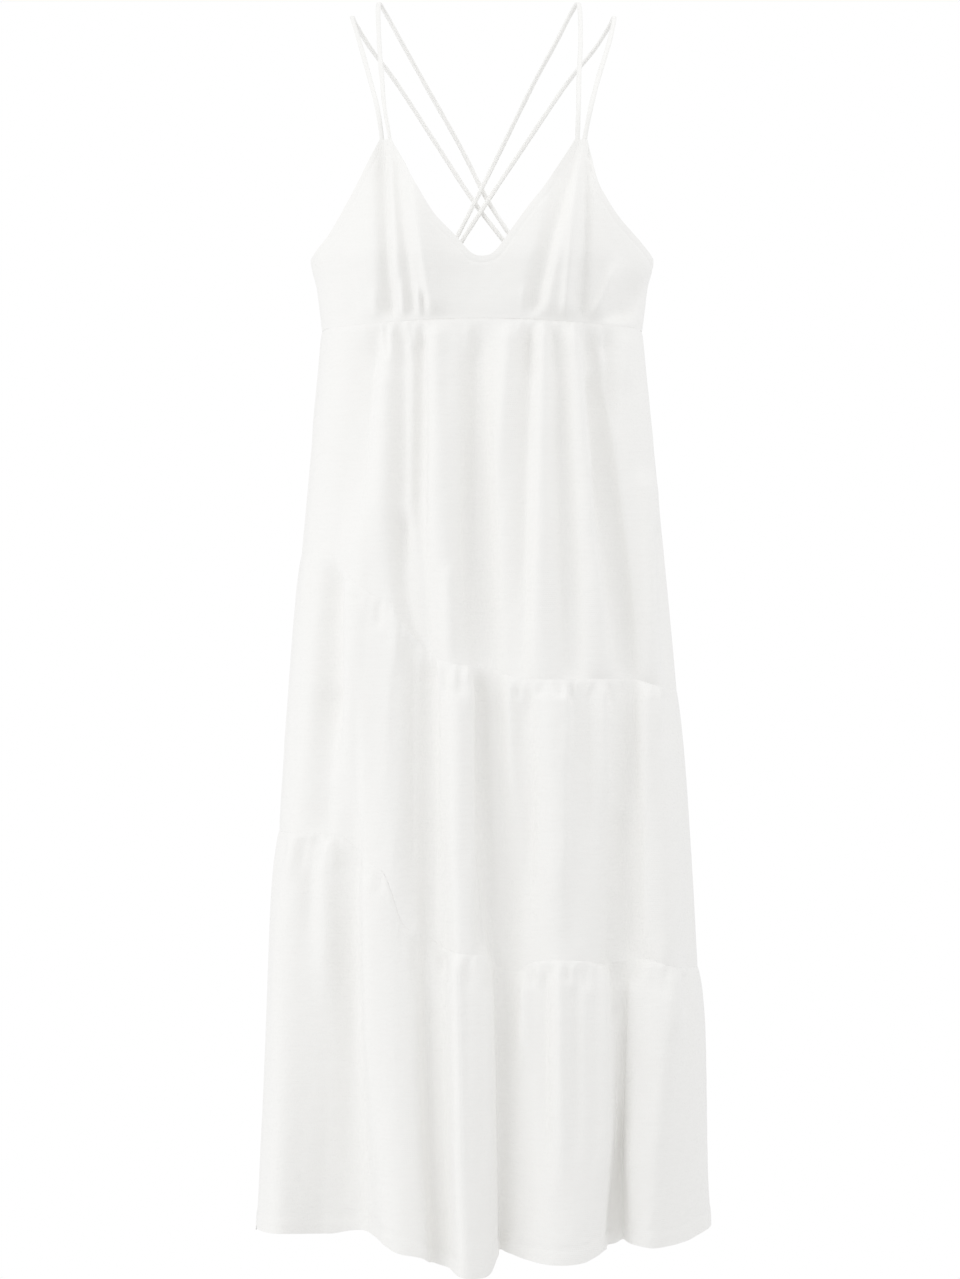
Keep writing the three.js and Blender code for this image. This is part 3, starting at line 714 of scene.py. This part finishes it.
def skirtPanel(node, topSeam, bottomSeam, columns, rows, seed, middle):
    firstRow, lastRow = (0, rightRow) if node.endswith("front") else (rightRow, rowCount)
    row = evenColumns(firstRow, lastRow, middle, columns)[:, None]
    if node.endswith("back"):
        row[0] = rightRow + 1e-9
    down = np.linspace(0, 1, rows)[None, :] ** skirt["crowding"]
    top, bottom = topSeam(row), bottomSeam(row)
    z = top + (bottom - top) * down
    base = skirtPlace(np.broadcast_to(row, z.shape), z)
    normal = outwardNormals(base)
    run = runAlong(base)
    below = (top - z) / slantOf(top, run[:, 0])
    above = (z - bottom) / slantOf(bottom, run[:, -1])
    x = base[..., 0]
    out = creaseField(creases[node], x, z) * (1 - np.exp(-below / skirt["creaseStart"]))
    out += gatherField(node, run, below, x, seed)
    out += streaks(run, z, seed + 10) * (1 - np.exp(-below / skirt["streakStart"]))
    if not node.startswith("lower_tier"):
        out *= 1 - np.exp(-above / skirt["endFade"])
    toSide = np.minimum(run, run[-1:] - run)
    out *= smoothStep(0, skirt["sideFade"], toSide)
    out -= skirt["seamDip"] * hump(below, skirt["seamWidth"])
    out -= skirt["seamDip"] * skirt["sideDip"] * hump(toSide, skirt["seamWidth"])
    if node.startswith("lower_tier"):
        turned = smoothStep(hem["turn"] + hem["step"], hem["turn"] - hem["step"], above)
        out += hem["out"] * turned - hem["groove"] * hump(above - hem["turn"], hem["grooveWidth"])
        wave = softNoise(run / hem["waveAcross"], above / hem["waveDown"], seed + 20)
        out += hem["wave"] * wave * hump(above, hem["waveReach"])
    else:
        out -= skirt["seamDip"] * hump(above, skirt["seamWidth"])
    place = base + normal * out[..., None]
    piece = gridMesh(node.replace("_", "-"), place, run, "skirt_gauze", skirt["wall"])
    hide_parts(node)
    tierWidth(node)


skirtPanel("upper_skirt_front", bustSeam, upperSeam, 340, 125, 101, -0.45)
skirtPanel("upper_skirt_back", bustSeam, upperSeam, 200, 64, 102, -0.45)
skirtPanel("middle_tier_front", upperSeam, lowerSeam, 370, 112, 103, -0.75)
skirtPanel("middle_tier_back", upperSeam, lowerSeam, 220, 60, 104, -0.75)
skirtPanel("lower_tier_front", lowerSeam, hemHeight, 400, 118, 105, hemLow)
skirtPanel("lower_tier_back", lowerSeam, hemHeight, 280, 76, 106, hemLow)
print("skirt made")

bodice = {
    "wall": 0.0008,
    "backTop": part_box("back_bodice")[1][2],
    "fullness": {"front_bodice": 1.1, "back_bodice": 1.0},
    "backDip": 0.003,
    "leftArmhole": [(-158.5, -236), (-141, -219), (-119.5, -186), (-102, -152), (-93, -134)],
    "neckline": [
        (-82.5, -134), (-56, -184), (-43, -205), (-24, -225), (-10, -240), (0, -243), (11, -239), (27, -218),
        (43, -196), (57, -178), (84.5, -134)],
    "rightArmhole": [(95.5, -134), (104, -170), (112.5, -187), (124, -203), (140.5, -219.5), (160, -236)],
    "seamRelease": 0.008,
    "sideEase": 6,
    "edgeTurn": 0.006,
    "edgeGroove": 0.0004,
    "edgeGrooveWidth": 0.0012,
    "ripple": {"height": 0.0004, "apart": 0.016, "long": 0.06},
    "crinkle": {"height": 0.0002, "apart": 0.008, "long": 0.009},
    "rippleFade": 0.006,
    "columns": {"armhole": 74, "apex": 6, "neck": 64},
}
# Rounded mounds of the front: x and z of the middle, width, height and how far each stands out, in mm.
mounds = [(-74, -226, 46, 62, 19), (76, -226, 46, 62, 19), (-118, -288, 11, 18, -3.0)]
# Folds gathered into the seam below: x and z of the foot, x and z of the head, width, how far
# out, and how much of the width lies to the left.
cupFolds = [
    (-81, -302, -90, -115, 6.5, -12.0, 0.4),
    (-61, -302, -80, -130, 5.5, -6.2, 0.2),
    (-44, -302, -68, -150, 7, 7.0, -0.3),
    (-77, -304, -77, -262, 4, -3.6, 0),
    (-71, -302, -73, -265, 3.5, 2.2, 0),
    (-56, -302, -58, -268, 3, 2.8, 0),
    (-51, -302, -53, -275, 3, -3.0, 0),
    (-96, -304, -98, -270, 4, 2.2, 0),
    (44, -298, 92, -110, 8, -9.0, 0.2),
    (59, -300, 80, -185, 5, 3.4, 0),
    (61, -302, 75, -205, 4.5, -2.2, 0),
    (74, -302, 86, -165, 5, 6.0, 0),
    (36, -300, 38, -268, 4, 2.2, 0),
    (82, -304, 83, -280, 3, 2.4, 0),
    (89, -302, 96, -120, 7.5, -7.6, 0.3),
    (99, -304, 124, -245, 9, 12.5, -0.2),
    (114, -310, 156, -256, 15, -29.0, 0.2),
]


def cupOut(x, z):
    out = np.zeros(np.broadcast(x, z).shape)
    for middleX, middleZ, width, height, depth in mounds:
        out += depth * mm * hump(x - middleX * mm, width * mm) * hump(z - middleZ * mm, height * mm)
    for footX, footZ, headX, headZ, width, depth, lean in cupFolds:
        along = (z - footZ * mm) / ((headZ - footZ) * mm)
        aside = x - (footX + (headX - footX) * np.clip(along, 0, 1)) * mm
        spread = width * mm * np.where(aside < 0, 1 + lean, 1 - lean)
        fade = smoothStep(-0.08, 0.08, along) * (1 - smoothStep(0.7, 1.15, along))
        out += depth * mm * hump(aside, spread) * fade
    seam = underBust + seams["bustRise"] * hump(x, seams["bustRiseWidth"])
    return out * (1 - hump(np.maximum(z - seam, 0), bodice["seamRelease"]))


def bodicePlace(across, z, facing):
    # the oval, with the cups standing out in front and eased away towards the side seams
    place = ovalPlace(across, z, facing)
    if facing < 0:
        place[..., 1] -= cupOut(place[..., 0], place[..., 2]) * (1 - np.abs(across) ** bodice["sideEase"])
    return place


def ovalSteps(start, end, count):
    # fractions across the oval at equal steps of its angle
    angle = np.sign([start, end]) * np.arcsin(np.abs([start, end]) ** (form["power"] / 2))
    at = np.linspace(angle[0], angle[1], count)
    return np.sign(at) * np.abs(np.sin(at)) ** (2 / form["power"])


def acrossOf(edge):
    edge = np.array(edge) * mm
    return edge[:, 0] / through(form["z"], form["side"], edge[:, 1])


def bodicePiece(node, across, top, bottom, facing, rows, seed):
    z = top + (bottom - top) * np.linspace(0, 1, rows)[None, :]
    base = bodicePlace(np.broadcast_to(across, z.shape), z, facing)
    run = np.broadcast_to(runAlong(base)[:, -1:], z.shape)
    normal = outwardNormals(base)
    toEdge = (top - z) / slantOf(top, base[:, 0, 0])
    toSide = np.minimum(run, run[-1:] - run)
    ripple, crinkle = bodice["ripple"], bodice["crinkle"]
    out = ripple["height"] * softNoise(run / ripple["apart"], z / ripple["long"], seed)
    out += crinkle["height"] * softNoise(run / crinkle["apart"], z / crinkle["long"], seed + 1)
    out *= smoothStep(0, skirt["sideFade"], toSide) * (1 - hump(z - bottom, bodice["rippleFade"]))
    out -= bodice["edgeGroove"] * hump(toEdge - bodice["edgeTurn"], bodice["edgeGrooveWidth"])
    sides = skirt["sideDip"] * hump(toSide, skirt["seamWidth"])
    out -= skirt["seamDip"] * (hump(z - bottom, skirt["seamWidth"]) + sides)
    place = base + normal * out[..., None]
    piece = gridMesh(node.replace("_", "-"), place, run, "bodice_gauze", bodice["wall"])
    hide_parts(node)
    wide = bodice["fullness"][node] * halfGirth(form["z"][1], facing)


def frontBodice():
    # its columns stop at the two apexes and the middle of the neckline, so that each edge is followed
    edges = [np.array(bodice[name]) * mm for name in ("leftArmhole", "neckline", "rightArmhole")]
    across = [acrossOf(bodice[name]) for name in ("leftArmhole", "neckline", "rightArmhole")]
    across[0][0], across[2][-1] = -1, 1
    armhole, apex, neck = (bodice["columns"][name] for name in ("armhole", "apex", "neck"))
    stretches = [
        (-1, across[0][-1], 0, armhole), (across[0][-1], across[1][0], None, apex),
        (across[1][0], 0, 1, neck), (0, across[1][-1], 1, neck),
        (across[1][-1], across[2][0], None, apex), (across[2][0], 1, 2, armhole)]
    columns, tops = [], []
    for start, end, edge, count in stretches:
        at = ovalSteps(start, end, count)[:-1]
        flatTop = np.full(at.shape, edges[0][-1, 1])
        columns.append(at)
        tops.append(flatTop if edge is None else through(across[edge], edges[edge][:, 1], at))
    columns = np.concatenate(columns + [[1.0]])[:, None]
    tops = np.concatenate(tops + [[edges[2][-1, 1]]])[:, None]
    bottom = underBust + seams["bustRise"] * hump(columns * form["side"][-1], seams["bustRiseWidth"])
    bodicePiece("front_bodice", columns, tops, bottom, -1, 95, 201)


def backBodice():
    columns = ovalSteps(1, -1, 180)[:, None]
    top = bodice["backTop"] - bodice["backDip"] * hump(columns, 0.5)
    bodicePiece("back_bodice", columns, top, np.full(top.shape, underBust), 1, 40, 211)


frontBodice()
backBodice()

# Four narrow straps, turned and pressed. Each starts behind an apex of the front, climbs over the
# shoulder and crosses the back to the far side, where it is sewn inside the top edge.
strap = {
    "width": 0.0043,
    "thick": 0.0025,
    "square": 2.7,
    "sides": 14,
    "rings": 260,
    "tuck": 0.011,
    "seatDepth": 0.0024,
    "apexTop": -0.134,
    "turnHeight": 0.14,
    "backTop": -0.238,
    "leaveFront": 0.002,
    "leaveBack": 0.004,
    "frontSeat": (0.05, 0.2),
    "backSeat": (0.8, 0.95),
    "twist": 0.22,
    "twistLong": 0.07,
    "twistIn": (0.02, 0.12),
    "twistOut": (0.88, 0.98),
    "swell": 0.06,
    "swellLong": 0.012,
    "girth": 0.014,
}
strapRoutes = {
    "strap_left_outer": {"apex": -90.9, "back": 44, "route": [
        (-94.8, -78, -106), (-102.3, -60, -76), (-113.4, -30, -35), (-120.6, -3, -9), (-117.5, 22, -12.5),
        (-104.8, 44, -30), (-82.5, 66, -57), (-40.2, 90, -119), (-7.7, 95.5, -168), (17.5, 96, -201)]},
    "strap_left_inner": {"apex": -85.3, "back": 49.8, "route": [
        (-88.3, -78, -106), (-91.3, -60, -76), (-95, -30, -32), (-95.9, -3, 3.5), (-91.5, 20, 1),
        (-76, 42, -24), (-56, 64, -57), (-19.2, 89, -119), (4, 95.5, -164), (25, 96, -197)]},
    "strap_right_inner": {"apex": 87.2, "back": -41.2, "route": [
        (87.4, -78, -106), (88.3, -60, -76), (90.8, -30, -32), (89.6, -3, 3.5), (84.5, 20, 1),
        (70, 42, -24), (50.4, 64, -57), (18.2, 86.5, -119), (-4.5, 91, -164), (-23.5, 92, -201)]},
    "strap_right_outer": {"apex": 92.8, "back": -35.4, "route": [
        (98.3, -78, -106), (105.7, -60, -76), (117.6, -30, -35), (122.7, -3, -9), (119.5, 22, -12.5),
        (106.5, 44, -30), (82.3, 66, -57), (38.3, 87, -119), (5.2, 91, -168), (-19.3, 92, -206)]},
}


def seatOf(x, z, facing, depth):
    # the place and the outward normal just inside the bodice's wall
    around = np.array([0, -1, 1, 0, 0]) * 1e-4
    aside = x * mm / through(form["z"], form["side"], z) + around
    heights = z + np.array([0, 0, 0, -1, 1]) * 5e-4
    place = bodicePlace(aside, heights, facing)
    normal = np.cross(place[2] - place[1], place[4] - place[3]) * -facing
    normal /= np.linalg.norm(normal)
    return place[0] - normal * depth, normal


def tubeMesh(name, rings, run, slot):
    # rings of points joined into a closed tube, with a flat cap over each end
    count, sides = rings.shape[:2]
    corner = np.arange(count * sides).reshape(count, sides)
    turned = np.roll(corner, -1, axis=1)
    quads = np.stack([corner[:-1], corner[1:], turned[1:], turned[:-1]], axis=-1).reshape(-1, 4)
    caps = [corner[0].tolist(), corner[-1][::-1].tolist()]
    mesh = bpy.data.meshes.new(name)
    mesh.from_pydata(rings.reshape(-1, 3).tolist(), [], quads.tolist() + caps)
    mesh.polygons.foreach_set("use_smooth", np.ones(len(mesh.polygons), dtype=bool))
    around = np.linspace(0, strap["girth"], sides + 1)
    corners = np.stack([
        np.stack([around[:-1], around[:-1], around[1:], around[1:]], axis=-1) + np.zeros((count - 1, 1, 1)),
        np.stack([run[:-1], run[1:], run[1:], run[:-1]], axis=-1)[:, None, :] + np.zeros((1, sides, 1)),
    ], axis=-1).reshape(-1, 2)
    corners = np.concatenate([corners, np.zeros((2 * sides, 2))])
    layer = mesh.uv_layers.new(name="cut")
    layer.data.foreach_set("uv", corners.astype(np.float32).ravel())
    piece = bpy.data.objects.new(name, mesh)
    scene.collection.objects.link(piece)
    mesh.materials.append(clothMaterials[slot])
    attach(piece, "root")
    return piece


def makeStrap(node, seed):
    # a rounded, flattened section carried along the route; at its ends it lies along the wall
    made = strapRoutes[node]
    low, _ = seatOf(made["apex"], strap["apexTop"] - strap["tuck"], -1, strap["seatDepth"])
    apex, frontNormal = seatOf(made["apex"], strap["apexTop"] - strap["leaveFront"], -1, strap["seatDepth"])
    over, _ = seatOf(made["back"], strap["backTop"] + strap["leaveBack"], 1, strap["seatDepth"])
    end, backNormal = seatOf(made["back"], strap["backTop"] - strap["tuck"], 1, strap["seatDepth"])
    points = np.array([low, apex, *(np.array(made["route"]) * mm), over, end])
    knots = np.concatenate([[2 * points[0] - points[1]], points, [2 * points[-1] - points[-2]]])

    def curve(t):
        k = np.clip(np.floor(t).astype(int), 0, len(points) - 2)
        return centripetal(knots[k], knots[k + 1], knots[k + 2], knots[k + 3], t - k)

    dense = np.linspace(0, len(points) - 1, 4000)
    length = np.concatenate([[0], np.cumsum(np.linalg.norm(np.diff(curve(dense), axis=0), axis=-1))])
    run = np.linspace(0, length[-1], strap["rings"])
    centre = curve(np.interp(run, length, dense))
    tangent = np.gradient(centre, axis=0)
    tangent /= np.linalg.norm(tangent, axis=-1, keepdims=True)
    along = (run / run[-1])[:, None]
    outward = centre * [0, 1, 1] + [0, 0, strap["turnHeight"]]
    outward /= np.linalg.norm(outward, axis=-1, keepdims=True)
    outward += (frontNormal - outward) * (1 - smoothStep(*strap["frontSeat"], along))
    outward += (backNormal - outward) * smoothStep(*strap["backSeat"], along)
    across = np.cross(tangent, outward)
    across /= np.linalg.norm(across, axis=-1, keepdims=True)
    lift = np.cross(across, tangent)
    free = smoothStep(*strap["twistIn"], along) * (1 - smoothStep(*strap["twistOut"], along))
    twist = strap["twist"] * softNoise(run / strap["twistLong"], run * 0, seed)[:, None] * free
    turnedAcross = across * np.cos(twist) + lift * np.sin(twist)
    turnedLift = lift * np.cos(twist) - across * np.sin(twist)
    turn = np.linspace(0, 2 * np.pi, strap["sides"], endpoint=False)
    power = 2 / strap["square"]
    aside = np.sign(np.cos(turn)) * np.abs(np.cos(turn)) ** power * strap["width"] / 2
    high = np.sign(np.sin(turn)) * np.abs(np.sin(turn)) ** power * strap["thick"] / 2
    swell = 1 + strap["swell"] * softNoise(run / strap["swellLong"], run * 0, seed + 1)[:, None, None]
    section = turnedAcross[:, None] * aside[:, None] + turnedLift[:, None] * high[:, None]
    rings = centre[:, None] + section * swell
    piece = tubeMesh(node.replace("_", "-"), rings, run, "strap_gauze")
    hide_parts(node)
    print(node, "made: length", round(float(run[-1]), 3))


for place, node in enumerate(strapRoutes):
    makeStrap(node, 301 + 2 * place)
print("straps made")

studio = {
    "floorHeight": -1.43,
    "floorRadius": 1.15,
    "floorGrey": 0.88,
    "floorFade": (0.45, 0.98),
    "keyPlace": (-2.7, -2.1, 0.8),
    "aim": (0.0, 0.0, -0.35),
    "keySize": 2.4,
    "keyPower": 28,
    "fillPlace": (1.2, -0.5, 0.75),
    "fillPower": 6.9,
    "fillSize": 2.0,
    "rimPlace": (-2.3, 0.2, -1.25),
    "rimPower": 3.8,
    "boxColour": (0.985, 0.99, 1.0),
    "white": (1.0, 1.0, 1.0),
    "airStrength": 0.822,
}


def studioFloor():
    # a round pale floor whose rim fades into the white around it
    sides, rings = 96, 12
    turn = np.linspace(0, 2 * np.pi, sides, endpoint=False)
    radius = np.linspace(0.08, 1, rings) * studio["floorRadius"]
    spread = radius[:, None, None] * np.stack([np.cos(turn), np.sin(turn), np.zeros(sides)], axis=-1)
    spread[..., 2] = studio["floorHeight"]
    corner = np.arange(rings * sides).reshape(rings, sides)
    turned = np.roll(corner, -1, axis=1)
    quads = np.stack([corner[:-1], corner[1:], turned[1:], turned[:-1]], axis=-1).reshape(-1, 4)
    mesh = bpy.data.meshes.new("studioFloor")
    mesh.from_pydata(spread.reshape(-1, 3).tolist(), [], quads.tolist() + [corner[0].tolist()])
    floor = bpy.data.objects.new("studioFloor", mesh)
    scene.collection.objects.link(floor)
    made = bpy.data.materials.new("paleFloor")
    made.use_nodes = True
    nodes, links = made.node_tree.nodes, made.node_tree.links
    shader = nodes["Principled BSDF"]
    shader.inputs["Base Color"].default_value = (*[studio["floorGrey"]] * 3, 1)
    shader.inputs["Roughness"].default_value = 0.9
    where = nodes.new("ShaderNodeTexCoord")
    apart = nodes.new("ShaderNodeVectorMath")
    apart.operation = "MULTIPLY"
    apart.inputs[1].default_value = (1, 1, 0)
    reach = nodes.new("ShaderNodeVectorMath")
    reach.operation = "LENGTH"
    fade = nodes.new("ShaderNodeMapRange")
    fade.interpolation_type = "SMOOTHSTEP"
    fade.inputs["From Min"].default_value = studio["floorFade"][0] * studio["floorRadius"]
    fade.inputs["From Max"].default_value = studio["floorFade"][1] * studio["floorRadius"]
    fade.inputs["To Min"].default_value = 1
    fade.inputs["To Max"].default_value = 0
    links.new(where.outputs["Object"], apart.inputs[0])
    links.new(apart.outputs[0], reach.inputs[0])
    links.new(reach.outputs["Value"], fade.inputs["Value"])
    links.new(fade.outputs["Result"], shader.inputs["Alpha"])
    mesh.materials.append(made)


def softBox(name, place, power, size):
    data = bpy.data.lights.new(name, "AREA")
    data.shape = "SQUARE"
    data.size = size
    data.energy = power
    data.color = studio["boxColour"]
    box = bpy.data.objects.new(name, data)
    box.location = place
    box.rotation_euler = (Vector(studio["aim"]) - box.location).to_track_quat("-Z", "Y").to_euler()
    box.visible_camera = False
    scene.collection.objects.link(box)


def studioAir():
    # white to the eye all round, and an even, dimmer light from everywhere
    world = bpy.data.worlds.new("whiteStudio")
    world.use_nodes = True
    nodes, links = world.node_tree.nodes, world.node_tree.links
    air = nodes["Background"]
    air.inputs["Color"].default_value = (*studio["white"], 1)
    air.inputs["Strength"].default_value = studio["airStrength"]
    seen = nodes.new("ShaderNodeBackground")
    seen.inputs["Color"].default_value = (*studio["white"], 1)
    rays = nodes.new("ShaderNodeLightPath")
    either = nodes.new("ShaderNodeMixShader")
    links.new(rays.outputs["Is Camera Ray"], either.inputs[0])
    links.new(air.outputs[0], either.inputs[1])
    links.new(seen.outputs[0], either.inputs[2])
    links.new(either.outputs[0], nodes["World Output"].inputs["Surface"])
    scene.world = world
    scene.view_settings.view_transform = "Standard"
    scene.cycles.diffuse_bounces = 8


studioFloor()
softBox("softKey", studio["keyPlace"], studio["keyPower"], studio["keySize"])
softBox("softFill", studio["fillPlace"], studio["fillPower"], studio["fillSize"])
softBox("softRim", studio["rimPlace"], studio["rimPower"], studio["keySize"])
studioAir()
print("studio made")
